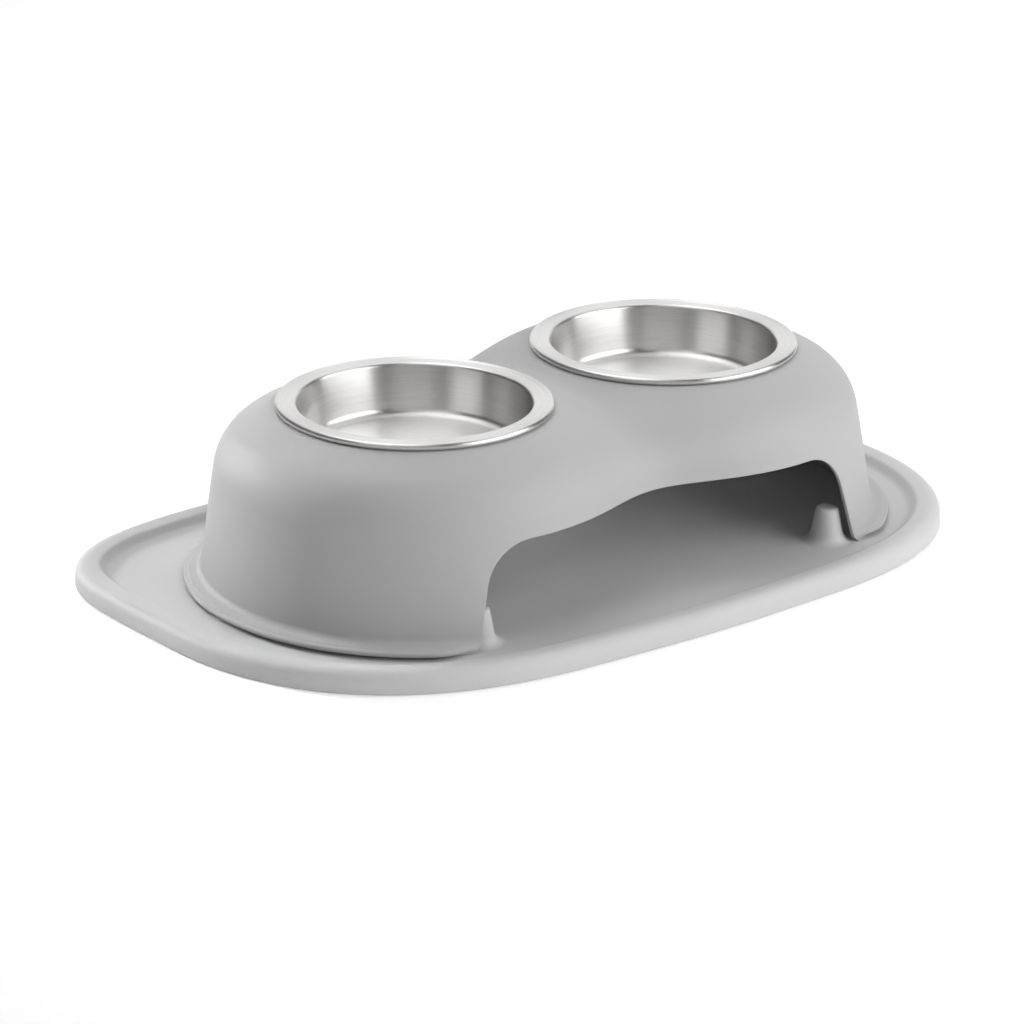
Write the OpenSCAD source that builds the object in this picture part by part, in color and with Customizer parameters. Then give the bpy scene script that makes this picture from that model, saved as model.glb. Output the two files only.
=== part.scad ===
// Raised double pet bowl: a soft floor mat with a raised lip, a moulded stand
// with two round pods and an arch in front and behind, and two steel bowls
// that hang in the stand by their rims.
// Millimetres. X runs from bowl to bowl, the front faces -Y, Z is up.
// The origin is on the floor under the middle of the mat.

/* [Bowls] */
// Distance of the line of the bowls behind the middle of the mat
bowl_y = 1.2; // [0:0.1:6]
// Distance from the middle of the stand to the axis of each bowl
bowl_x = 104.5; // [100:0.5:110]
// Outer radius of the rolled rim of a bowl
rim_r = 89; // [85:0.5:89]
// Inner radius of a bowl at its opening
open_r = 75.4; // [70:0.2:76]
// Depth of a bowl from the rim to its floor
bowl_depth = 35; // [30:1:50]
// Thickness of the steel sheet
steel_t = 0.8; // [0.6:0.1:1]
// Height of the top of the rims above the floor
rim_z = 126; // [118:0.5:132]

/* [Stand] */
// Radius of a pod where its wall meets the foot
pod_r = 140; // [136:0.5:143]
// Radius of a pod where the lines of wall and top would meet
shoulder_r = 125.5; // [122:0.5:128]
// Radius of the rounded shoulder
shoulder_round = 40; // [30:1:42]
// Outer radius of the foot flange
foot_r = 150.5; // [147:0.5:152]
// Wall thickness of the moulding
wall_t = 3; // [2.4:0.1:3.4]
// Height of the arch above the floor
arch_z = 73.5; // [60:0.5:80]
// Half width of the arch at the height of the mat
arch_x = 158; // [150:1:160]
// Radius of the upper corners of the arch
arch_round = 34; // [25:1:38]
// Softness of the waist between the pods at the walls
waist = 32; // [24:1:34]
// How far the foot is set forward for each millimetre of height
set_forward = 0.035; // [0:0.005:0.04]

/* [Mat] */
// Half length of the mat along the crest of its lip
mat_x = 285.4; // [280:0.2:295]
// Distance from the widest line of the mat to its front crest
mat_front = 203.4; // [198:0.2:210]
// Distance from the widest line of the mat to its back crest
mat_back = 170.5; // [165:0.5:176]
// Height of the lip above the floor
lip_z = 14.5; // [13:0.5:17]
// Height of the flat of the mat above the floor
flat_z = 8.5; // [8:0.5:9.5]
// Height of a locating post above the flat of the mat
post_h = 23; // [15:1:28]

/* [Hidden] */

seat_z = rim_z - 4.5;          // plane on which a rim rests
crest_z = seat_z;              // top of the stand round a bowl
crest_r = rim_r + 1.2;         // end of the flat ring under a rim
shoulder_z = crest_z - 18.3;   // height of the virtual shoulder corner
foot_z = flat_z;               // the foot stands on the flat of the mat
mat_y0 = 3.1;                  // y of the widest line of the mat
post_x = 147.2;                // places of the locating posts, from the middle of the foot
post_y = 114.2;
foot_y = bowl_y - set_forward * (crest_z - foot_z);   // middle of the foot in y

// ---------- plane helpers ----------

// Points of a fillet of radius r at corner b of the path a, b, c.
function fil(a, b, c, r, n) =
    let (u = (a - b) / norm(a - b), w = (c - b) / norm(c - b),
         th = acos(u * w), m = (u + w) / norm(u + w),
         o = b + m * r / sin(th / 2),
         p = b + u * r / tan(th / 2), q = b + w * r / tan(th / 2),
         a0 = atan2(p[1] - o[1], p[0] - o[0]),
         a1 = atan2(q[1] - o[1], q[0] - o[0]),
         d = (a1 - a0 + 540) % 360 - 180)
    [for (i = [0 : n]) o + r * [cos(a0 + d * i / n), sin(a0 + d * i / n)]];

function clamp01(t) = min(1, max(0, t));
function ease(t) = let (c = clamp01(t)) c * c * (3 - 2 * c);

// ---------- mat ----------

// Crest line of the lip: a long D, squarer behind. In front it runs in a
// long flat curve, with fuller quarters where the curve turns back.
function mat_pt(a) =
    let (c = cos(a), s = sin(a), b = s < 0 ? mat_front : mat_back,
         p = s < 0 ? 2.06 : 5.07,
         r = pow(pow(abs(c) / mat_x, p) + pow(abs(s) / b, p), -1 / p),
         w = s < 0 ? 1 + s * s * (0.457 * pow(c, 4) - 0.178 * c * c - 0.131 * s * s) : 1)
    [r * w * c, r * w * s];
function mat_nrm(a) =
    let (d = mat_pt(a + 0.05) - mat_pt(a - 0.05)) [d[1], -d[0]] / norm(d);
// Section of the lip: distance outside the crest line, height.
mat_sec = concat(
    fil([0, 0], [7.2, 0], [6.6, lip_z], 1.2, 2),
    fil([7.2, 0], [6.6, lip_z - 0.6], [-1.5, lip_z], 6.8, 5),
    fil([6.6, lip_z - 0.6], [-1.5, lip_z], [-9, lip_z - 0.7], 14, 1),
    fil([-1.5, lip_z], [-9, lip_z - 0.7], [-14, flat_z], 4.5, 3),
    fil([-9, lip_z - 0.7], [-14, flat_z], [-30, flat_z], 6, 4));
mat_n = 112;
// Angles set closer together round the corners of the D.
function mat_ang(i) = let (t = 360 * i / mat_n) t - 11 * sin(2 * t);

module mat_body() {
    k = len(mat_sec);
    pts = [for (s = mat_sec, i = [0 : mat_n - 1])
        let (a = mat_ang(i), q = mat_pt(a) + mat_nrm(a) * s[0])
        [q[0], q[1] + mat_y0, s[1]]];
    polyhedron(pts, concat(
        [[for (i = [0 : mat_n - 1]) i]],
        [[for (i = [0 : mat_n - 1]) k * mat_n - 1 - i]],
        [for (j = [0 : k - 2], i = [0 : mat_n - 1]) let (h = (i + 1) % mat_n)
            [j * mat_n + i, (j + 1) * mat_n + i, (j + 1) * mat_n + h]],
        [for (j = [0 : k - 2], i = [0 : mat_n - 1]) let (h = (i + 1) % mat_n)
            [j * mat_n + i, (j + 1) * mat_n + h, j * mat_n + h]]));
}

// A tapered locating post with a wide flared base and a rounded top.
module post() {
    rotate_extrude($fn = 48)
        polygon(concat(
            [[0, flat_z - 1], [18.2, flat_z - 1]],
            fil([20, flat_z + 0.02], [11.8, flat_z + 0.02], [7.3, flat_z + post_h], 7.5, 7),
            fil([11.8, flat_z], [7.3, flat_z + post_h], [0, flat_z + post_h], 2.6, 5),
            [[0, flat_z + post_h]]));
}

// True where a point is far enough inside the lip for a pocket.
function inside(x, y) =
    let (a = atan2(y - mat_y0, x), q = mat_pt(a)) norm([x, y - mat_y0]) < norm(q) - 16;

module mat() {
    color([0.74, 0.74, 0.74])
    difference() {
        union() {
            mat_body();
            for (sx = [-1, 1], sy = [-1, 1])
                translate([sx * post_x, foot_y + sy * post_y, 0]) post();
        }
        // pockets moulded under the flat leave a grid of ribs
        for (i = [-5.5 : 1 : 5.5], j = [-4 : 3])
            let (x = i * 47, y = j * 47 + 23.5)
            if (min([for (dx = [-22, 22], dy = [-22, 22])
                    inside(x + dx, y + dy) ? 1 : 0]) == 1)
                translate([x - 21.5, y - 21.5, -1]) cube([43, 43, flat_z - 2]);
    }
}

// ---------- stand ----------

// Distance from the pod axes, blended softly where the two pods meet.
function soft(m) = 11 + (waist - 11) * ease((m - 102) / 48);
function rho(x, y) =
    let (a = norm([x - bowl_x, y]), b = norm([x + bowl_x, y]), k = soft((a + b) / 2))
    min(a, b) - k * ln(1 + exp(-abs(a - b) / k));
// Distance from a pod axis, in direction th, at which rho is r.
function reach(r, th, s, n) =
    n == 0 ? s
    : reach(r, th, s + 0.85 * (r - rho(bowl_x + s * cos(th), s * sin(th))), n - 1);
// Distance of the level r from a pod axis, on the line between the pods.
function mid(r, q, n) = n == 0 ? q : mid(r, r + soft(q) * ln(2), n - 1);
function mid_y(r) = sqrt(pow(mid(r, r + 20, 24), 2) - pow(bowl_x, 2));
function end_ang(r) = 180 - atan2(mid_y(r), bowl_x);

// The foot flange fades out towards the arches.
function fade(x) = ease((abs(x) - arch_x + 3) / 28);
function back_set(z) = -set_forward * (crest_z - z);

// One row of the wall: n + 1 points of the right half, then the left half.
function half_row(r, rf, z, n) =
    let (e = end_ang(r))
    [for (j = [0 : n]) let (th = -e + 2 * e * j / n, s = reach(r, th, r, 14),
                           t = s + (rf - r) * fade(bowl_x + s * cos(th)))
        [j == 0 || j == n ? 0 : bowl_x + t * cos(th), t * sin(th) + back_set(z), z]];
function full_row(r, rf, z, n) =
    let (h = half_row(r, rf, z, n))
    concat(h, [for (j = [n - 1 : -1 : 1]) [-h[j][0], h[j][1], h[j][2]]]);

// Closed body of both pods. rows: [radius, flange radius, height] from the
// foot up. The top falls from height zc at radius rc with the given slope.
module pods(rows, zc, rc, slope, n, m, q) {
    k = len(rows);
    w = 2 * n;
    rt = rows[k - 1][0];
    yt = mid_y(rt);
    nb = n + m;
    wall = [for (r = rows) each full_row(r[0], r[1], r[2], n)];
    seam = [for (i = [1 : m - 1]) let (y = yt * (1 - 2 * i / m), z = top_z(rho(0, y), zc, rc, slope))
        [0, y + back_set(z), z]];
    // plan outline of the top of the right pod
    edge = concat(
        [for (j = [0 : n]) let (e = end_ang(rt), th = -e + 2 * e * j / n, s = reach(rt, th, rt, 14))
            [bowl_x + s * cos(th), s * sin(th)]],
        [for (i = [1 : m - 1]) [0, yt * (1 - 2 * i / m)]]);
    ring = [for (f = [1 : q], p = edge)
        let (d = p - [bowl_x, 0], c = d / norm(d) * rc, g = f / q,
             v = [bowl_x, 0] + d * (1 - g) + c * g,
             z = f == q ? zc : top_z(rho(v[0], v[1]), zc, rc, slope))
        [v[0], v[1] + back_set(z), z]];
    s0 = k * w;
    r0 = s0 + m - 1;
    c0 = r0 + 2 * q * nb;
    pts = concat(wall, seam, ring, [for (p = ring) [-p[0], p[1], p[2]]],
        [[bowl_x, 0, zc], [-bowl_x, 0, zc]]);
    // index of point b of ring f, on side 0 (right) or 1 (left)
    function at(f, b, side) =
        let (c = b % nb)
        f > 0 ? r0 + side * q * nb + (f - 1) * nb + c
        : c > n ? s0 + c - n - 1
        : (k - 1) * w + (side == 0 ? c : (w - c) % w);
    polyhedron(pts, concat(
        [[for (i = [0 : w - 1]) i]],
        [for (j = [0 : k - 2], i = [0 : w - 1]) let (h = (i + 1) % w)
            [j * w + i, (j + 1) * w + i, (j + 1) * w + h]],
        [for (j = [0 : k - 2], i = [0 : w - 1]) let (h = (i + 1) % w)
            [j * w + i, (j + 1) * w + h, j * w + h]],
        [for (f = [0 : q - 1], b = [0 : nb - 1])
            [at(f, b, 0), at(f + 1, b, 0), at(f + 1, b + 1, 0)]],
        [for (f = [0 : q - 1], b = [0 : nb - 1])
            [at(f, b, 0), at(f + 1, b + 1, 0), at(f, b + 1, 0)]],
        [for (b = [0 : nb - 1]) [at(q, b, 0), c0, at(q, b + 1, 0)]],
        [for (f = [0 : q - 1], b = [0 : nb - 1])
            [at(f, b + 1, 1), at(f + 1, b + 1, 1), at(f + 1, b, 1)]],
        [for (f = [0 : q - 1], b = [0 : nb - 1])
            [at(f, b + 1, 1), at(f + 1, b, 1), at(f, b, 1)]],
        [for (b = [0 : nb - 1]) [at(q, b + 1, 1), c0 + 1, at(q, b, 1)]]));
}
function top_z(r, zc, rc, slope) = zc - max(0, r - rc) * slope;

top_slope = (crest_z - shoulder_z) / (shoulder_r - crest_r);
wall_slope = (pod_r - shoulder_r) / (shoulder_z - (foot_z + 5.7));
function wall_r(z) = pod_r - (z - foot_z - 5.7) * wall_slope;
shoulder = fil([pod_r, foot_z + 5.7], [shoulder_r, shoulder_z], [crest_r, crest_z], shoulder_round, 7);
// The foot stands on a ring; the flange overhangs it and is clear of the mat.
stand_r = max(foot_r - 7.1, pod_r + 1.5);
outer_rows = concat(
    [[wall_r(foot_z), stand_r, foot_z],
     [wall_r(foot_z + 2.1), stand_r, foot_z + 2.1],
     [wall_r(foot_z + 2.4), foot_r - 1.5, foot_z + 2.4],
     [wall_r(foot_z + 2.9), foot_r - 0.4, foot_z + 2.9],
     [wall_r(foot_z + 3.7), foot_r, foot_z + 3.7],
     [wall_r(foot_z + 4.5), foot_r - 0.6, foot_z + 4.5],
     [wall_r(foot_z + 5.3), foot_r - 2.9, foot_z + 5.3],
     [wall_r(foot_z + 6.2), pod_r + 2.8, foot_z + 6.2],
     [wall_r(foot_z + 7.6), pod_r + 0.4, foot_z + 7.6],
     [wall_r(foot_z + 10), wall_r(foot_z + 10), foot_z + 10]],
    [for (p = shoulder) [p[0], p[0], p[1]]]);
in_shoulder = fil([pod_r - wall_t, foot_z + 5.7],
    [shoulder_r - wall_t, shoulder_z - wall_t * 0.8],
    [crest_r - 1, crest_z - wall_t], shoulder_round - wall_t, 5);
inner_rows = concat(
    [[wall_r(foot_z - 3) - wall_t, wall_r(foot_z - 3) - wall_t, foot_z - 3]],
    [for (p = in_shoulder) [p[0], p[0], p[1]]]);

// Opening under the stand, seen from the front: sloping sides, round upper
// corners, and small round feet where the legs end.
module arch_shape() {
    lean = 0.25;
    xt = arch_x - lean * (arch_z - foot_z);
    a = atan(lean);
    len = arch_round * tan((90 - a) / 2);
    ox = xt - len;
    oz = arch_z - arch_round;
    for (s = [-1, 1]) scale([s, 1])
        union() {
            polygon([[-1, foot_z - 4], [arch_x + lean * 4, foot_z - 4],
                [xt + len * sin(a), arch_z - len * cos(a)], [ox, arch_z], [-1, arch_z]]);
            translate([ox, oz]) circle(r = arch_round, $fn = 96);
            difference() {
                polygon([[arch_x - 1, foot_z - 4], [arch_x + 6.8, foot_z - 4],
                    [arch_x + 6.8, foot_z], [arch_x - 1.9, foot_z + 8.2], [arch_x - 3, foot_z + 8.2]]);
                translate([arch_x + 6.6, foot_z + 7.6]) circle(r = 7.6, $fn = 48);
            }
        }
}

module stand() {
    color([0.72, 0.72, 0.72])
    translate([0, bowl_y, 0]) difference() {
        pods(outer_rows, crest_z, crest_r, top_slope, 44, 8, 4);
        pods(inner_rows, crest_z - wall_t, crest_r - 1,
            (crest_z - wall_t - in_shoulder[5][1]) / (in_shoulder[5][0] - crest_r + 1), 28, 6, 2);
        // arches in front and behind
        translate([0, 260, 0]) rotate([90, 0, 0]) linear_extrude(520) arch_shape();
        // holes for the bowls, whose rims rest on the flat ring round each hole
        for (s = [-1, 1]) translate([s * bowl_x, 0, seat_z - 20])
            cylinder(r = open_r + steel_t + 1.3, h = 40, $fn = 180);
    }
}

// ---------- bowls ----------

module bowl() {
    bead = 2.2;                    // the rolled edge stands a little above the flat of the rim
    bx = rim_r - bead;
    zf = rim_z - 0.6;
    zb = rim_z - bowl_depth;
    r_low = open_r - 4.4;
    inner = concat(
        [[0, zb]],
        fil([0, zb], [r_low, zb], [open_r, zf], 6.5, 6),
        fil([r_low, zb], [open_r, zf], [rim_r, zf], 2.4, 4),
        [[bx - bead * cos(44), zf]]);
    outer = concat(
        fil([rim_r, zf - steel_t], [open_r + steel_t, zf - steel_t], [r_low + steel_t, zb - steel_t], 1.6, 4),
        fil([open_r + steel_t, zf], [r_low + steel_t, zb - steel_t], [0, zb - steel_t], 6.5 + steel_t, 6),
        [[0, zb - steel_t]]);
    rotate_extrude($fn = 180)
        polygon(concat(inner,
            [for (a = [112.5 : -22.5 : -60]) [bx + bead * cos(a), rim_z - bead + bead * sin(a)]],
            [[bx + 0.9, seat_z], [bx - 0.9, seat_z]],
            [[bx - bead * cos(30), rim_z - bead - bead * sin(30)]],
            [[bx - bead, zf - steel_t]],
            outer));
}
module bowl_left() { color([0.8, 0.8, 0.8]) translate([-bowl_x, bowl_y, 0]) bowl(); }
module bowl_right() { color([0.8, 0.8, 0.8]) translate([bowl_x, bowl_y, 0]) bowl(); }

mat();
stand();
bowl_left();
bowl_right();
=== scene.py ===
"""Raised double pet bowl: a stand with two steel bowls on a soft lipped mat, in a plain studio."""
import math

import bmesh
import bpy
import numpy as np
from mathutils import Matrix, Vector
from mathutils.geometry import delaunay_2d_cdt


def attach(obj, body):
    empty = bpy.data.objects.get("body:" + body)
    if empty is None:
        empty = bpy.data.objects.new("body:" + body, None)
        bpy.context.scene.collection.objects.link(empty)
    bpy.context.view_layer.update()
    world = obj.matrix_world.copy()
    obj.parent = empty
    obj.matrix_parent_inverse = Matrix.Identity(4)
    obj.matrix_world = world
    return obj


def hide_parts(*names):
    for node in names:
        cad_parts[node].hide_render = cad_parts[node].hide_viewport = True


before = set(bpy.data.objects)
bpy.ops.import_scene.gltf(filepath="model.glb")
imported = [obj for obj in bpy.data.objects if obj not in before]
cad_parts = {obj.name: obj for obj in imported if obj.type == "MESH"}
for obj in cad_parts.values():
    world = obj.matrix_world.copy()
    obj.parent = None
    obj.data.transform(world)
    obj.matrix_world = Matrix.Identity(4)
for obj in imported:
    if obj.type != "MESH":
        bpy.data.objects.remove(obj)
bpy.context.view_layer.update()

# ------------------------------------------------------------------ sizes, mm
BOWL_Y, BOWL_X, RIM_R, OPEN_R, DEPTH, STEEL, RIM_Z = 1.2, 104.5, 89.0, 75.4, 35.0, 0.8, 126.0
POD_R, SH_R, SH_ROUND, FOOT_R, WALL = 140.0, 125.5, 40.0, 150.5, 3.0
ARCH_Z, ARCH_X, ARCH_ROUND, WAIST, SET = 73.5, 158.0, 34.0, 32.0, 0.035
MAT_X, MAT_F, MAT_B, LIP_Z, FLAT_Z, POST_H = 285.4, 203.4, 170.5, 14.5, 8.5, 23.0
SEAT_Z, CREST_Z, CREST_R = RIM_Z - 4.5, RIM_Z - 4.5, RIM_R + 1.2
SH_Z, FOOT_Z, MAT_Y0 = CREST_Z - 18.3, FLAT_Z, 3.1
FOOT_Y = BOWL_Y - SET * (CREST_Z - FOOT_Z)
TOP_SLOPE = (CREST_Z - SH_Z) / (SH_R - CREST_R)
WALL_SLOPE = (POD_R - SH_R) / (SH_Z - (FOOT_Z + 5.7))


# ------------------------------------------------------------------ helpers
def ease(t):
    t = np.clip(t, 0, 1)
    return t * t * (3 - 2 * t)


def fillet(a, b, c, r, n):
    """Points of a fillet of radius r at corner b of the path a, b, c."""
    a, b, c = (np.array(p, float) for p in (a, b, c))
    u, w = (a - b) / np.linalg.norm(a - b), (c - b) / np.linalg.norm(c - b)
    th = math.acos(float(u @ w))
    m = (u + w) / np.linalg.norm(u + w)
    o = b + m * r / math.sin(th / 2)
    p, q = b + u * r / math.tan(th / 2), b + w * r / math.tan(th / 2)
    a0, a1 = math.atan2(*(p - o)[::-1]), math.atan2(*(q - o)[::-1])
    d = (a1 - a0 + 3 * math.pi) % (2 * math.pi) - math.pi
    return [tuple(o + r * np.array((math.cos(a0 + d * i / n), math.sin(a0 + d * i / n)))) for i in range(n + 1)]


def rounded(path, radii, n):
    """A path with its inner corners rounded; n segments per corner (a number or a list)."""
    out = [path[0]]
    for i in range(1, len(path) - 1):
        k = n if isinstance(n, int) else n[i - 1]
        if radii[i - 1] > 0:
            out += fillet(path[i - 1], path[i], path[i + 1], radii[i - 1], k)
        else:
            out.append(path[i])
    return out + [path[-1]]


def resample(pts, n=None, step=None, extra=()):
    """Even points along a polyline."""
    pts = np.array(pts, float)
    d = np.r_[0, np.cumsum(np.linalg.norm(np.diff(pts, axis=0), axis=1))]
    if n is None:
        n = max(2, int(math.ceil(d[-1] / step)))
    t = np.linspace(0, d[-1], n + 1)
    return np.stack([np.interp(t, d, pts[:, k]) for k in range(pts.shape[1])], 1)


class Net:
    """Collects grids of points, in mm, into one mesh whose shared edges are welded."""

    def __init__(self):
        self.v, self.f, self.n = [], [], 0

    def points(self, p):
        p = np.asarray(p, float).reshape(-1, 3)
        start = self.n
        self.v.append(p)
        self.n += len(p)
        return start

    def grid(self, g, close=False, flip=False):
        g = np.asarray(g, float)
        a, b = g.shape[:2]
        s = self.points(g)
        last = b if close else b - 1
        for i in range(a - 1):
            for j in range(last):
                h = (j + 1) % b
                q = (s + i * b + j, s + (i + 1) * b + j, s + (i + 1) * b + h, s + i * b + h)
                self.f.append(q[::-1] if flip else q)

    def fan(self, centre, ring, flip=False):
        s = self.points(ring)
        c = self.points([centre])
        n = len(ring)
        for j in range(n):
            t = (s + j, s + (j + 1) % n, c)
            self.f.append(t[::-1] if flip else t)

    def build(self, name, weld=2e-6):
        me = bpy.data.meshes.new(name)
        co = np.concatenate(self.v) / 1000.0
        me.from_pydata(co.tolist(), [], self.f)
        me.validate()
        bm = bmesh.new()
        bm.from_mesh(me)
        bmesh.ops.remove_doubles(bm, verts=bm.verts, dist=weld)
        bmesh.ops.dissolve_degenerate(bm, edges=bm.edges, dist=weld / 2)
        bmesh.ops.recalc_face_normals(bm, faces=bm.faces)
        bm.normal_update()
        bm.to_mesh(me)
        loose = [e for e in bm.edges if len(e.link_faces) != 2]
        print(f"{name}: {len(bm.verts)} vertices, {len(bm.faces)} faces, {len(loose)} open edges")
        vol = bm.calc_volume(signed=True)
        if vol < 0:
            bmesh.ops.reverse_faces(bm, faces=bm.faces)
            bm.to_mesh(me)
        bm.free()
        for p in me.polygons:
            p.use_smooth = True
        ob = bpy.data.objects.new(name, me)
        bpy.context.scene.collection.objects.link(ob)
        return ob


# ------------------------------------------------------------------ stand
def soft(m):
    return 11 + (WAIST - 11) * ease((m - 102) / 48)


def rho(x, y):
    """Distance from the pod axes, blended softly where the two pods meet."""
    a, b = np.hypot(x - BOWL_X, y), np.hypot(x + BOWL_X, y)
    k = soft((a + b) / 2)
    return np.minimum(a, b) - k * np.log1p(np.exp(-np.abs(a - b) / k))


def reach(r, th):
    """Distance from the right pod's axis, in direction th, at which rho is r."""
    r, th = np.broadcast_arrays(np.asarray(r, float), np.asarray(th, float))
    s = r.copy()
    for _ in range(60):
        s = s + 0.8 * (r - rho(BOWL_X + s * np.cos(th), s * np.sin(th)))
    return s


def mid_y(r):
    """Where the level r crosses the plane between the pods."""
    q = r + 20.0
    for _ in range(60):
        q = r + soft(q) * math.log(2)
    return math.sqrt(q * q - BOWL_X ** 2)


def end_angle(r):
    return math.pi - math.atan2(mid_y(r), BOWL_X)


def y_at(x, r):
    """|y| at which rho is r, for a given x."""
    x, r = np.broadcast_arrays(np.asarray(x, float), np.asarray(r, float))
    lo, hi = np.full(x.shape, 20.0), np.full(x.shape, 170.0)
    for _ in range(50):
        m = (lo + hi) / 2
        up = rho(x, m) < r
        lo, hi = np.where(up, m, lo), np.where(up, hi, m)
    return (lo + hi) / 2


def wall_r(z):
    return POD_R - (z - FOOT_Z - 5.7) * WALL_SLOPE


def fade(x):
    return ease((np.abs(x) - ARCH_X + 3) / 28)


def shift(p):
    """The foot stands a little forward of the bowls."""
    p = np.array(p, float)
    p[..., 1] += BOWL_Y - SET * (CREST_Z - p[..., 2])
    return p


# foot flange, from the wall down: radius, height; it overhangs the ring on which the foot stands
STAND_R = 143.4
FLANGE = rounded(
    [(wall_r(26.0), 26.0), (wall_r(16.1), 16.1), (146.9, 15.0), (147.7, 14.45), (FOOT_R, 13.9), (FOOT_R, 10.9),
     (STAND_R, 10.6), (STAND_R, 8.5), (141.5, 8.5)],
    [4.4, 0.9, 0.9, 1.5, 1.6, 0.7, 0.4], [9, 4, 4, 8, 8, 4, 3])[1:-1]
FLANGE = np.array([(wall_r(21.5), 21.5)] + list(FLANGE), float)
FLANGE[-1, 1] = FOOT_Z
FLANGE[:, 1] = np.minimum.accumulate(FLANGE[:, 1] - np.arange(len(FLANGE)) * 1e-4)
FLANGE[-1, 1] = FOOT_Z
FLANGE_Z, FLANGE_R = FLANGE[::-1, 1], FLANGE[::-1, 0]


def flange_r(z):
    return np.where(z > 21.5, wall_r(z), np.interp(z, FLANGE_Z, FLANGE_R))


PHI = math.radians(50)          # columns beyond this angle are plain
Z_T = 82.5                      # top of the band round the arch
N_A, N_M, N_SEAM, N_RING = 60, 92, 56, 14
T_BAND = np.r_[0, np.linspace(0.17, 1, 9)]

# outline of the arch, half, in x and z
_lean = 0.25
_corner = (ARCH_X - _lean * (ARCH_Z - FOOT_Z), ARCH_Z)
_foot = (ARCH_X, FOOT_Z)
_round = fillet((0, ARCH_Z), _corner, _foot, ARCH_ROUND, 40)
_toe = fillet(_corner, _foot, (ARCH_X + 40, FOOT_Z), 7.6, 24)
ARCH_TOP = resample([(0, ARCH_Z)] + _round[:21], N_A)                 # to the middle of the corner
_side_arc = resample(_round[20:], 12)
Z_LEG = np.r_[np.linspace(_side_arc[-1][1], 21.5, 12)[1:-1], FLANGE[:, 1]]


def arch_side_x(z):
    """x of the arch's side at height z, with the rounded toe."""
    z = np.asarray(z, float)
    x = ARCH_X - _lean * (z - FOOT_Z)
    c = (_toe[-1][0], FOOT_Z + 7.6)
    zt = _toe[0][1]
    arc = c[0] - np.sqrt(np.maximum(7.6 ** 2 - (c[1] - z) ** 2, 0))
    return np.where(z < zt, arc, x)


ARCH_SIDE = np.r_[_side_arc, np.c_[arch_side_x(Z_LEG), Z_LEG]]
N_K = len(ARCH_SIDE) - 1
SIDE_Z = np.r_[np.linspace(Z_T, _side_arc[-1][1], 13), Z_LEG]


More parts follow.
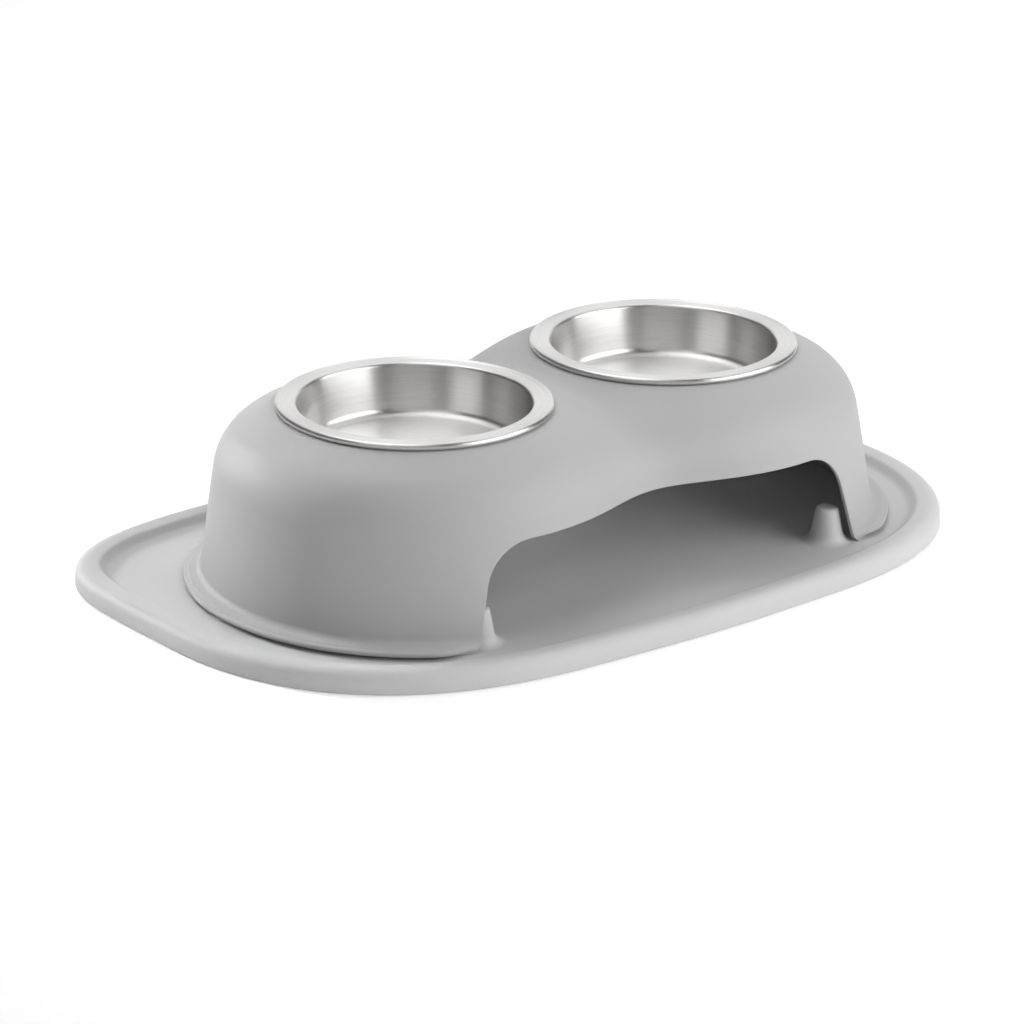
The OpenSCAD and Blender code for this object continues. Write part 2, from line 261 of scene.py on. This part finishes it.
def half_shell(outer):
    """Grids of the right half of one skin, before the shift: a dict of arrays."""
    if outer:
        dr = 0.0
        c0, c1, c2 = (POD_R, FOOT_Z + 5.7), (SH_R, SH_Z), (CREST_R, CREST_Z)
        rr, z_top, r_top, slope, ring_r = SH_ROUND, CREST_Z, CREST_R, TOP_SLOPE, 86.0
    else:
        dr = WALL * 1.013
        z_top, r_top = CREST_Z - WALL, CREST_R - 1
        c0, c1 = (POD_R - dr, FOOT_Z + 5.7), (SH_R - dr, SH_Z)
        c1 = (SH_R - dr + WALL * 0.13, SH_Z - WALL * 0.8)
        c2 = (r_top, z_top)
        rr, ring_r = SH_ROUND - WALL, 85.0
        slope = (z_top - c1[1]) / (c1[0] - r_top)
    arc = fillet(c0, c1, c2, rr, 22)
    rows = [(wall_r(Z_T) - dr, Z_T)] + [p for p in arc if p[1] > Z_T + 0.4]

    def height(x, y):
        d = rho(x, y) - r_top
        w = 3.0
        g = np.where(d > w, d, np.where(d < -w, 0, (d + w) ** 2 / (4 * w)))
        return z_top - slope * g

    # upper wall: rows by columns
    e = [end_angle(r) for r, z in rows]
    f = np.linspace(0, 1, N_A + 1)
    up = []
    for (r, z), ee in zip(rows, e):
        front = -ee + (ee - PHI) * f
        th = np.r_[front, np.linspace(-PHI, PHI, N_M + 1)[1:], -front[::-1][1:]]
        s = reach(r, th)
        x = BOWL_X + s * np.cos(th)
        x[0] = x[-1] = 0
        zz = np.full(len(th), z)
        up.append(np.stack([x, s * np.sin(th), zz], 1))
    up = np.array(up)
    # above the rounded shoulder the rows end on the slope: take its own height there
    up[-1, :, 2] = height(up[-1, :, 0], up[-1, :, 1])

    # band round the front arch: (N_A + N_K + 1) by T
    top = up[0, :N_A + 1][:, [0, 2]]
    s_side = reach(wall_r(SIDE_Z) - dr, np.full(len(SIDE_Z), -PHI))
    side = np.c_[BOWL_X + s_side * math.cos(PHI), SIDE_Z]
    inner_edge = np.r_[ARCH_TOP, ARCH_SIDE[1:]]
    outer_edge = np.r_[top, side[1:]]
    t = T_BAND[None, :, None]
    xz = inner_edge[:, None, :] * (1 - t) + outer_edge[:, None, :] * t

    def skin(x, z, back=False):
        y = y_at(x, wall_r(z) - dr)
        if outer:
            d = (flange_r(z) - wall_r(z)) * fade(x)
            a = np.arctan2(-y, x - BOWL_X)
            x, y = x + d * np.cos(a), y - d * np.sin(a)
        return np.stack([x, y if back else -y, z], -1)

    band_f = skin(xz[..., 0], xz[..., 1])
    band_f[0, :, 0] = 0
    band_b = skin(xz[..., 0], xz[..., 1], True)
    band_b[0, :, 0] = 0
    # plain side wall: rows by columns, sharing the bands' outer edges
    th = np.linspace(-PHI, PHI, N_M + 1)
    rs = (wall_r(SIDE_Z) - dr)[:, None]
    s = reach(rs, th[None, :])
    if outer:
        x = BOWL_X + s * np.cos(th)
        s = s + (flange_r(SIDE_Z) - wall_r(SIDE_Z))[:, None] * fade(x)
    wall = np.stack([BOWL_X + s * np.cos(th), s * np.sin(th), np.repeat(SIDE_Z[:, None], N_M + 1, 1)], -1)
    wall[0] = up[0, N_A:N_A + N_M + 1]
    band_f[N_A:, -1] = wall[:, 0]
    band_b[N_A:, -1] = wall[:, -1]
    band_f[:N_A + 1, -1] = up[0, :N_A + 1]
    band_b[:N_A + 1, -1] = up[0, ::-1][:N_A + 1]
    # top: rings from the edge of the wall to a circle round the bowl
    last = up[-1]
    yt = last[-1, 1]
    seam_y = yt * (1 - 2 * np.arange(1, N_SEAM) / N_SEAM)
    seam = np.stack([np.zeros(N_SEAM - 1), seam_y, height(np.zeros(N_SEAM - 1), seam_y)], 1)
    edge = np.r_[last, seam]
    ctr = np.array([BOWL_X, 0.0])
    d = edge[:, :2] - ctr
    circ = ctr + d / np.linalg.norm(d, axis=1)[:, None] * ring_r
    rings = []
    g_all = np.linspace(0, 1, N_RING + 1)
    for g in g_all:
        xy = edge[:, :2] * (1 - g) + circ * g
        z = height(xy[:, 0], xy[:, 1])
        if g == 0:
            z = edge[:, 2]
        rings.append(np.c_[xy, z])
    return {"up": up, "front": band_f, "back": band_b, "wall": wall, "rings": np.array(rings)}


def unit(v):
    return v / np.maximum(np.linalg.norm(v, axis=-1, keepdims=True), 1e-9)


def bend(a, c, b, n):
    """Points that turn the corner c from a to b."""
    t = np.linspace(0, 1, n + 1)[:, None, None]
    return (1 - t) ** 2 * a[None] + 2 * t * (1 - t) * c[None] + t ** 2 * b[None]


def stand():
    o, i = half_shell(True), half_shell(False)
    net = Net()
    side_n = N_A + N_K + 1

    def edge_radius(z):
        """Rounding of the moulded edge: it fades out at the toe."""
        return np.clip(1.1 * (z - FOOT_Z) / (_toe[0][1] - FOOT_Z), 0.02, 1.1)

    strips = []
    for key in ("front", "back"):
        go, gi = o[key], i[key]
        re = edge_radius(go[:, 0, 2])[:, None]
        C, R1 = go[:, 0].copy(), go[:, 1]
        D, S1 = gi[:, 0].copy(), gi[:, 1]
        cross = unit(D - C)
        P0, P1 = C + unit(R1 - C) * re, C + cross * re
        Q1, Q0 = D - cross * re * 0.6, D + unit(S1 - D) * re * 0.6
        rows = np.concatenate([bend(P0, C, P1, 5), bend(Q1, D, Q0, 3)])
        go[:, 0], gi[:, 0] = P0, Q0
        strips.append(rows)
        net.grid(shift(rows))
        # foot of the leg, from the arch to the plain wall
        low_o, low_i = go[-1].copy(), gi[-1].copy()
        t = np.linspace(0, 1, len(rows))[:, None, None]
        foot = low_o[None] * (1 - t) + low_i[None] * t
        foot[:, 0] = rows[:, -1]
        net.grid(shift(foot))
    # foot under the plain wall
    t = np.linspace(0, 1, 10)[:, None, None]
    foot = o["wall"][-1][None] * (1 - t) + i["wall"][-1][None] * t
    net.grid(shift(foot))
    for s in (o, i):
        net.grid(shift(s["up"]))
        net.grid(shift(s["front"]))
        net.grid(shift(s["back"]))
        net.grid(shift(s["wall"]))
        net.grid(shift(s["rings"]), close=True)
    # seat of the bowl: from the ring round it, over the seat, through the hole, to the inner skin
    ring_o, ring_i = o["rings"][-1], i["rings"][-1]
    ctr = np.array([BOWL_X, 0.0])
    u = unit(ring_o[:, :2] - ctr)
    z0 = ring_o[:, 2]
    hole = OPEN_R + STEEL + 1.3
    prof = rounded([(86.0, SEAT_Z), (hole, SEAT_Z), (hole, SEAT_Z - WALL), (85.0, SEAT_Z - WALL)], [0.9, 0.7], 5)
    seat = []
    for k, (r, z) in enumerate(prof):
        w = 1 - ease(k / 4)
        zz = z + (z0 - prof[0][1]) * w
        seat.append(np.c_[ctr + u * r, zz])
    seat[0] = ring_o
    seat[-1] = ring_i
    net.grid(shift(np.array(seat)), close=True)
    # the left half mirrors the right
    n0 = len(net.v)
    base = net.n
    faces = list(net.f)
    for k in range(n0):
        net.v.append(net.v[k] * np.array([-1, 1, 1]))
    net.n *= 2
    net.f += [tuple(base + q for q in f[::-1]) for f in faces]
    return net.build("stand_shell")


# ------------------------------------------------------------------ mat
def mat_pt(a):
    """Crest line of the lip, about the widest line of the mat: a long D, squarer behind."""
    c, s = np.cos(a), np.sin(a)
    b, p = np.where(s < 0, MAT_F, MAT_B), np.where(s < 0, 2.06, 5.07)
    r = ((np.abs(c) / MAT_X) ** p + (np.abs(s) / b) ** p) ** (-1 / p)
    r = r * np.where(s < 0, 1 + s * s * (0.457 * c ** 4 - 0.178 * c * c - 0.131 * s * s), 1)
    return np.stack([r * c, r * s], -1)


def mat_nrm(a):
    d = mat_pt(a + 5e-4) - mat_pt(a - 5e-4)
    return unit(np.stack([d[:, 1], -d[:, 0]], 1))


def mat_pocket_ok(x, y):
    a = math.atan2(y - MAT_Y0, x)
    q = mat_pt(np.array([a]))[0]
    return math.hypot(x, y - MAT_Y0) < math.hypot(*q) - 16


def planar(net, loops, z, up, pitch):
    """Fills the plane between the first loop and the others, which are holes."""
    pts, edges = [], []
    for lp in loops:
        s = len(pts)
        pts += [tuple(p) for p in lp]
        edges += [(s + k, s + (k + 1) % len(lp)) for k in range(len(lp))]
    rim = np.concatenate([resample(np.r_[lp, lp[:1]], step=pitch / 3) for lp in loops])
    # free points inside, on a staggered grid, so that no triangle is long and thin
    lo, hi = rim.min(0), rim.max(0)
    gy = np.arange(lo[1] + pitch, hi[1], pitch * 0.87)
    for row, y in enumerate(gy):
        gx = np.arange(lo[0] + pitch * (0.5 if row % 2 else 1.0), hi[0], pitch)
        for x in gx:
            if np.min(np.hypot(rim[:, 0] - x, rim[:, 1] - y)) > pitch * 0.5:
                pts.append((x, y))
    out = delaunay_2d_cdt([Vector(p) for p in pts], edges, [], 0, 1e-6)
    # keep the triangles reached from the first loop without crossing a loop
    source = [o[0] for o in out[3]]
    fixed = {frozenset(e) for e in edges}
    owner = {}
    for k, f in enumerate(out[2]):
        for a, b in zip(f, f[1:] + f[:1]):
            owner.setdefault(frozenset((source[a], source[b])), []).append(k)

    def turn(a, b, c):
        a, b, c = pts[a], pts[b], pts[c]
        return (b[0] - a[0]) * (c[1] - a[1]) - (c[0] - a[0]) * (b[1] - a[1])

    # the first loop runs anticlockwise, so the inside is on its left
    seed = max((turn(*e, *({source[q] for q in out[2][k]} - set(e))), k)
               for e in edges[:len(loops[0])] for k in owner[frozenset(e)])
    keep, todo = set(), [seed[1]]
    while todo:
        k = todo.pop()
        if k in keep:
            continue
        keep.add(k)
        f = out[2][k]
        for a, b in zip(f, f[1:] + f[:1]):
            e = frozenset((source[a], source[b]))
            if e not in fixed:
                todo += [q for q in owner[e] if q not in keep]
    s = net.points(np.c_[np.array(pts), np.full(len(pts), z)])
    for k in sorted(keep):
        f = [source[q] for q in out[2][k]]
        f = f if (turn(*f) > 0) == up else f[::-1]
        net.f.append(tuple(s + q for q in f))


def mat():
    n = 480
    t = np.linspace(0, 2 * math.pi, n, endpoint=False)
    a = t - math.radians(11) * np.sin(2 * t)
    p, m = mat_pt(a), mat_nrm(a)
    sec = rounded([(0, 0), (7.2, 0), (6.6, LIP_Z - 0.6), (-1.5, LIP_Z), (-9, LIP_Z - 0.7), (-14, FLAT_Z), (-30, FLAT_Z)],
                  [1.2, 7.0, 9, 4.5, 6], [4, 14, 5, 9, 10])
    sec = sec[:-1] + [(-21, FLAT_Z), (-25, FLAT_Z)]
    net = Net()
    rows = [np.c_[p + m * s, np.full(n, z)] + np.array([0, MAT_Y0, 0]) for s, z in sec]
    net.grid(np.array(rows), close=True)
    # locating posts, which flow out of the flat
    prof = rounded([(20, FLAT_Z), (11.8, FLAT_Z), (7.3, FLAT_Z + POST_H), (0, FLAT_Z + POST_H)], [7.5, 2.6], [14, 10])
    k = 64
    ang = np.linspace(0, 2 * math.pi, k, endpoint=False)
    holes = []
    for sx in (-1, 1):
        for sy in (-1, 1):
            c = np.array([sx * 147.2, FOOT_Y + sy * 114.2])
            circ = np.stack([np.cos(ang), np.sin(ang)], 1)
            g = np.array([np.c_[c + circ * r, np.full(k, z)] for r, z in prof[:-1]])
            net.grid(g, close=True)
            net.fan([c[0], c[1], FLAT_Z + POST_H], g[-1])
            holes.append(g[0][:, :2])
    planar(net, [rows[-1][:, :2]] + holes, FLAT_Z, True, 9.0)
    # underside: pockets between ribs
    pockets = []
    for i in np.arange(-5.5, 6):
        for j in range(-4, 4):
            x, y = i * 47, j * 47 + 23.5
            if all(mat_pocket_ok(x + dx, y + dy) for dx in (-22, 22) for dy in (-22, 22)):
                pockets.append((x, y))
    dep = FLAT_Z - 3.0

    def square(x, y, h, r, q=5):
        out = []
        for cx, cy, a0 in ((1, 1, 0), (-1, 1, 90), (-1, -1, 180), (1, -1, 270)):
            for s in range(q + 1):
                aa = math.radians(a0 + 90 * s / q)
                out.append((x + cx * (h - r) + r * math.cos(aa), y + cy * (h - r) + r * math.sin(aa)))
        return np.array(out)

    loops = []
    for x, y in pockets:
        step = [(21.9, 3.2, 0.0), (21.6, 3.0, 0.12), (21.45, 2.9, 0.45), (21.0, 2.6, dep - 1.4), (20.7, 2.4, dep - 0.5), (19.9, 2.0, dep - 0.05), (19.2, 1.8, dep)]
        g = np.array([np.c_[square(x, y, h, r), np.full(24, z)] for h, r, z in step])
        net.grid(g, close=True)
        net.fan([x, y, dep], g[-1])
        loops.append(g[0][:, :2])
    planar(net, [rows[0][:, :2]] + loops, 0.0, False, 9.0)
    return net.build("mat_body")


# ------------------------------------------------------------------ bowls
def bowl(name, x0):
    zb, r_low, bead = RIM_Z - DEPTH, OPEN_R - 4.4, 2.2
    bx, zf = RIM_R - bead, RIM_Z - 0.6
    inner = rounded([(0, zb + 0.25), (40, zb + 0.15), (r_low, zb), (OPEN_R, zf), (84.4, zf), (85.6, RIM_Z + 0.25)],
                    [300, 6.5, 2.4, 0.7], [6, 14, 10, 4])[:-1]
    top = [(bx + bead * math.cos(a), RIM_Z - bead + bead * math.sin(a)) for a in np.radians(np.linspace(126, -200, 34))]
    under = rounded([(bx - bead - 0.5, zf - STEEL), (OPEN_R + STEEL, zf - STEEL), (r_low + STEEL, zb - STEEL), (40, zb - STEEL + 0.12), (0, zb - STEEL + 0.22)],
                    [1.6, 6.5 + STEEL, 300], [8, 14, 6])
    prof = inner + top + under
    clean = [prof[0]]
    for q in prof[1:]:
        if math.dist(q, clean[-1]) > 0.03:
            clean.append(q)
    n = 256
    ang = np.linspace(0, 2 * math.pi, n, endpoint=False)
    circ = np.stack([np.cos(ang), np.sin(ang)], 1)
    c = np.array([x0, BOWL_Y])
    net = Net()
    g = np.array([np.c_[c + circ * r, np.full(n, z)] for r, z in clean[1:-1]])
    net.grid(g, close=True)
    net.fan([c[0], c[1], clean[0][1]], g[0], flip=True)
    net.fan([c[0], c[1], clean[-1][1]], g[-1])
    return net.build(name)


# ------------------------------------------------------------------ materials
def new_material(name):
    m = bpy.data.materials.new(name)
    m.use_nodes = True
    nt = m.node_tree
    bsdf = nt.nodes["Principled BSDF"]
    return m, nt, bsdf


def node(nt, kind, **values):
    n = nt.nodes.new(kind)
    for k, v in values.items():
        if k in n.inputs:
            n.inputs[k].default_value = v
        else:
            setattr(n, k, v)
    return n


def ramp(nt, fac, stops):
    r = nt.nodes.new("ShaderNodeValToRGB")
    el = r.color_ramp.elements
    el[0].position, el[0].color = stops[0][0], (*stops[0][1], 1)
    el[1].position, el[1].color = stops[-1][0], (*stops[-1][1], 1)
    for pos, col in stops[1:-1]:
        e = el.new(pos)
        e.color = (*col, 1)
    nt.links.new(fac, r.inputs["Fac"])
    return r.outputs["Color"]


def moulded(name, base, rough, grain, grain_mm, spec=0.5, wave=0.0):
    """Moulded plastic or rubber: fine spark-eroded grain, a slow drift of tone and gloss."""
    m, nt, b = new_material(name)
    tc = node(nt, "ShaderNodeTexCoord")
    obj = tc.outputs["Object"]
    fine = node(nt, "ShaderNodeTexNoise", Scale=1000.0 / grain_mm, Detail=3.0, Roughness=0.6)
    slow = node(nt, "ShaderNodeTexNoise", Scale=9.0, Detail=2.0, Roughness=0.5)
    mott = node(nt, "ShaderNodeTexNoise", Scale=160.0, Detail=4.0, Roughness=0.6)
    for t in (fine, slow, mott):
        nt.links.new(obj, t.inputs["Vector"])
    col = ramp(nt, slow.outputs["Fac"], [(0.3, tuple(c * 0.982 for c in base)), (0.7, tuple(min(1, c * 1.018) for c in base))])
    mix = node(nt, "ShaderNodeMix", data_type="RGBA", blend_type="MULTIPLY")
    mix.inputs[0].default_value = 1.0
    nt.links.new(col, mix.inputs[6])
    speck = ramp(nt, mott.outputs["Fac"], [(0.35, (0.985,) * 3), (0.65, (1.0,) * 3)])
    nt.links.new(speck, mix.inputs[7])
    nt.links.new(mix.outputs[2], b.inputs["Base Color"])
    rr = node(nt, "ShaderNodeMapRange")
    rr.inputs["From Min"].default_value, rr.inputs["From Max"].default_value = 0.3, 0.7
    rr.inputs["To Min"].default_value, rr.inputs["To Max"].default_value = rough - 0.035, rough + 0.035
    nt.links.new(mott.outputs["Fac"], rr.inputs["Value"])
    nt.links.new(rr.outputs["Result"], b.inputs["Roughness"])
    bump = node(nt, "ShaderNodeBump", Strength=1.0, Distance=grain * 1e-3)
    nt.links.new(fine.outputs["Fac"], bump.inputs["Height"])
    if wave:
        w = node(nt, "ShaderNodeTexNoise", Scale=22.0, Detail=1.0)
        nt.links.new(obj, w.inputs["Vector"])
        b2 = node(nt, "ShaderNodeBump", Strength=1.0, Distance=wave * 1e-3)
        nt.links.new(w.outputs["Fac"], b2.inputs["Height"])
        nt.links.new(b2.outputs["Normal"], bump.inputs["Normal"])
    nt.links.new(bump.outputs["Normal"], b.inputs["Normal"])
    b.inputs["Specular IOR Level"].default_value = spec
    return m


def steel(name, x0):
    """Turned and brushed stainless steel: marks run round the bowl's axis."""
    m, nt, b = new_material(name)
    tc = node(nt, "ShaderNodeTexCoord")
    sub = node(nt, "ShaderNodeVectorMath", operation="SUBTRACT")
    sub.inputs[1].default_value = (x0 / 1000, BOWL_Y / 1000, 0)
    nt.links.new(tc.outputs["Object"], sub.inputs[0])
    sep = node(nt, "ShaderNodeSeparateXYZ")
    nt.links.new(sub.outputs["Vector"], sep.inputs["Vector"])
    flat = node(nt, "ShaderNodeCombineXYZ")
    nt.links.new(sep.outputs["X"], flat.inputs["X"])
    nt.links.new(sep.outputs["Y"], flat.inputs["Y"])
    rad = node(nt, "ShaderNodeVectorMath", operation="LENGTH")
    nt.links.new(flat.outputs["Vector"], rad.inputs[0])
    dirn = node(nt, "ShaderNodeVectorMath", operation="NORMALIZE")
    nt.links.new(flat.outputs["Vector"], dirn.inputs[0])
    along = node(nt, "ShaderNodeMath", operation="ADD")
    nt.links.new(rad.outputs["Value"], along.inputs[0])
    nt.links.new(sep.outputs["Z"], along.inputs[1])
    sd = node(nt, "ShaderNodeSeparateXYZ")
    nt.links.new(dirn.outputs["Vector"], sd.inputs["Vector"])

    def streaks(around, across, detail):
        v = node(nt, "ShaderNodeCombineXYZ")
        for axis in ("X", "Y"):
            k = node(nt, "ShaderNodeMath", operation="MULTIPLY")
            k.inputs[1].default_value = around
            nt.links.new(sd.outputs[axis], k.inputs[0])
            nt.links.new(k.outputs["Value"], v.inputs[axis])
        k = node(nt, "ShaderNodeMath", operation="MULTIPLY")
        k.inputs[1].default_value = across
        nt.links.new(along.outputs["Value"], k.inputs[0])
        nt.links.new(k.outputs["Value"], v.inputs["Z"])
        t = node(nt, "ShaderNodeTexNoise", Scale=1.0, Detail=detail, Roughness=0.65)
        nt.links.new(v.outputs["Vector"], t.inputs["Vector"])
        return t.outputs["Fac"]

    fine = streaks(5.0, 1500.0, 1.0)
    wide = streaks(1.6, 420.0, 2.0)
    add = node(nt, "ShaderNodeMath", operation="ADD")
    nt.links.new(fine, add.inputs[0])
    nt.links.new(wide, add.inputs[1])
    half = node(nt, "ShaderNodeMath", operation="MULTIPLY")
    half.inputs[1].default_value = 0.5
    nt.links.new(add.outputs["Value"], half.inputs[0])
    col = ramp(nt, half.outputs["Value"], [(0.36, (0.655, 0.65, 0.64)), (0.5, (0.69, 0.685, 0.675)), (0.64, (0.725, 0.72, 0.71))])
    b.inputs["Metallic"].default_value = 1.0
    # the floor is satin, the wall brushed, the rim a little softer again
    floor_part = node(nt, "ShaderNodeMapRange", interpolation_type="SMOOTHSTEP")
    floor_part.inputs["From Min"].default_value, floor_part.inputs["From Max"].default_value = (RIM_Z - DEPTH + 0.3) / 1000, (RIM_Z - DEPTH + 3.2) / 1000
    floor_part.inputs["To Min"].default_value, floor_part.inputs["To Max"].default_value = 1.0, 0.0
    nt.links.new(sep.outputs["Z"], floor_part.inputs["Value"])
    # the floor gets a paler steel colour than the wall: painted light that brightens the bowl's floor
    floor_painted_light = node(nt, "ShaderNodeMix", data_type="RGBA", blend_type="MIX")
    floor_painted_light_col = ramp(nt, half.outputs["Value"], [(0.36, (0.80, 0.79, 0.78)), (0.64, (0.88, 0.87, 0.86))])
    nt.links.new(floor_part.outputs["Result"], floor_painted_light.inputs[0])
    nt.links.new(col, floor_painted_light.inputs[6])
    nt.links.new(floor_painted_light_col, floor_painted_light.inputs[7])
    # the top of the bowl near the rim is darkened by 4 per cent: painted shade
    tone = node(nt, "ShaderNodeMapRange", interpolation_type="SMOOTHSTEP")
    tone.inputs["From Min"].default_value, tone.inputs["From Max"].default_value = (RIM_Z - 5) / 1000, (RIM_Z - 2) / 1000
    tone.inputs["To Min"].default_value, tone.inputs["To Max"].default_value = 1.0, 0.96
    nt.links.new(sep.outputs["Z"], tone.inputs["Value"])
    shade = node(nt, "ShaderNodeMix", data_type="RGBA", blend_type="MULTIPLY")
    shade.inputs[0].default_value = 1.0
    nt.links.new(floor_painted_light.outputs[2], shade.inputs[6])
    nt.links.new(tone.outputs["Result"], shade.inputs[7])
    nt.links.new(shade.outputs[2], b.inputs["Base Color"])
    rim_part = node(nt, "ShaderNodeMapRange", interpolation_type="SMOOTHSTEP")
    rim_part.inputs["From Min"].default_value, rim_part.inputs["From Max"].default_value = (RIM_Z - 6) / 1000, (RIM_Z - 1) / 1000
    rim_part.inputs["To Min"].default_value, rim_part.inputs["To Max"].default_value = 0.30, 0.34
    nt.links.new(sep.outputs["Z"], rim_part.inputs["Value"])
    polish = node(nt, "ShaderNodeMath", operation="MULTIPLY_ADD")
    polish.inputs[1].default_value = 0.22
    nt.links.new(floor_part.outputs["Result"], polish.inputs[0])
    nt.links.new(rim_part.outputs["Result"], polish.inputs[2])
    nt.links.new(polish.outputs["Value"], b.inputs["Roughness"])
    bump = node(nt, "ShaderNodeBump", Strength=1.0, Distance=0.000005)
    nt.links.new(fine, bump.inputs["Height"])
    b2 = node(nt, "ShaderNodeBump", Strength=1.0, Distance=0.00001)
    nt.links.new(wide, b2.inputs["Height"])
    nt.links.new(b2.outputs["Normal"], bump.inputs["Normal"])
    nt.links.new(bump.outputs["Normal"], b.inputs["Normal"])
    aniso = node(nt, "ShaderNodeMath", operation="MULTIPLY_ADD")
    aniso.inputs[1].default_value, aniso.inputs[2].default_value = -0.6, 0.85
    nt.links.new(floor_part.outputs["Result"], aniso.inputs[0])
    nt.links.new(aniso.outputs["Value"], b.inputs["Anisotropic"])
    b.inputs["Anisotropic Rotation"].default_value = 0.25
    tan = node(nt, "ShaderNodeTangent", direction_type="RADIAL", axis="Z")
    nt.links.new(tan.outputs["Tangent"], b.inputs["Tangent"])
    return m


# ------------------------------------------------------------------ pieces
stand_mat = moulded("stand_plastic", (0.43, 0.43, 0.432), 0.58, 0.03, 0.55, spec=0.38)
mat_mat = moulded("mat_rubber", (0.555, 0.555, 0.557), 0.58, 0.045, 0.8, spec=0.4, wave=0.08)

piece = stand_piece = stand()
piece.data.materials.append(stand_mat)
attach(piece, "stand")
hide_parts("stand")

piece = mat_piece = mat()
piece.data.materials.append(mat_mat)
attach(piece, "mat")
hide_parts("mat")

for side, x0 in (("left", -BOWL_X), ("right", BOWL_X)):
    piece = bowl(f"steel_bowl_{side}", x0)
    piece.data.materials.append(steel(f"brushed_steel_{side}", x0))
    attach(piece, f"bowl_{side}")
    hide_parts(f"bowl_{side}")

# ------------------------------------------------------------------ studio
scene = bpy.context.scene
bpy.ops.mesh.primitive_plane_add(size=16, location=(0, 0, -0.0001))
floor = bpy.context.object
floor.name = "floor"
fm, fnt, fb = new_material("floor_white")
fb.inputs["Base Color"].default_value = (0.93, 0.93, 0.93, 1)
fb.inputs["Roughness"].default_value = 0.9
fb.inputs["Specular IOR Level"].default_value = 0.0
fb.inputs["Emission Color"].default_value = (1, 1, 1, 1)
fb.inputs["Emission Strength"].default_value = 0.17
floor.data.materials.append(fm)


def softbox(name, az, el, dist, w, h, power, aim=(0, 0, 0.05)):
    """An area light that looks at the object; az 0 is in front (-Y), 90 is +X."""
    d = Vector((math.sin(math.radians(az)) * math.cos(math.radians(el)),
                -math.cos(math.radians(az)) * math.cos(math.radians(el)), math.sin(math.radians(el))))
    li = bpy.data.lights.new(name, "AREA")
    li.shape, li.size, li.size_y, li.energy = "RECTANGLE", w, h, power
    ob = bpy.data.objects.new(name, li)
    ob.location = Vector(aim) + d * dist
    ob.rotation_euler = d.to_track_quat("Z", "Y").to_euler()
    scene.collection.objects.link(ob)
    return ob


LIGHTS = [
    ("key_right", 34, 24, 2.2, 2.5, 1.6, 44.0),
    ("left_back", -162, 20, 2.2, 0.4, 0.5, 0.70, (-0.27, 0.0, 0.05)),
    ("top_back", 155, 64, 2.3, 2.6, 1.8, 20.0),
    ("top_left", -115, 74, 2.3, 2.2, 1.5, 15.5),
    ("backdrop", 140, 22, 2.6, 3.4, 2.0, 22.0),
    ("fill_front", -52, 34, 2.4, 3.0, 1.0, 6.8),
]
lamps = {spec[0]: softbox(*spec) for spec in LIGHTS}
# the light from behind on the left has a grid that narrows it to the left end,
# and is kept off the bowls, as with a flag in a studio
lamps["left_back"].data.spread = math.radians(18)
matt_parts = bpy.data.collections.new("matt_parts")
for ob in (stand_piece, mat_piece, floor):
    matt_parts.objects.link(ob)
lamps["left_back"].light_linking.receiver_collection = matt_parts

world = bpy.data.worlds.new("studio")
scene.world = world
world.use_nodes = True
world.node_tree.nodes["Background"].inputs["Color"].default_value = (0.9, 0.9, 0.9, 1)
world.node_tree.nodes["Background"].inputs["Strength"].default_value = 0.06

scene.view_settings.view_transform = "Standard"
scene.view_settings.look = "None"
scene.view_settings.exposure = 0.0
scene.view_settings.gamma = 1.0

# ------------------------------------------------------------------ camera
AZ, EL, ROLL, LENS_PX, DIST = math.radians(-39.284), math.radians(20.166), math.radians(0.569), 4164.0, 2.686
TARGET = Vector((-0.0441, -0.0237, 0.0437))
back = Vector((math.sin(AZ) * math.cos(EL), -math.cos(AZ) * math.cos(EL), math.sin(EL)))
right = (-back).cross(Vector((0, 0, 1))).normalized()
up = right.cross(-back)
r2 = right * math.cos(ROLL) + up * math.sin(ROLL)
u2 = -right * math.sin(ROLL) + up * math.cos(ROLL)
cam = bpy.data.cameras.new("camera")
cam.sensor_width = 36.0
cam.sensor_fit = "HORIZONTAL"
cam.lens = LENS_PX / 1024 * 36.0
cam.clip_start, cam.clip_end = 0.1, 30.0
camera = bpy.data.objects.new("camera", cam)
rot = Matrix((r2, u2, back)).transposed().to_4x4()
camera.matrix_world = Matrix.Translation(TARGET + back * DIST - r2 * 0.000091 - u2 * 0.000386) @ rot
scene.collection.objects.link(camera)
scene.camera = camera
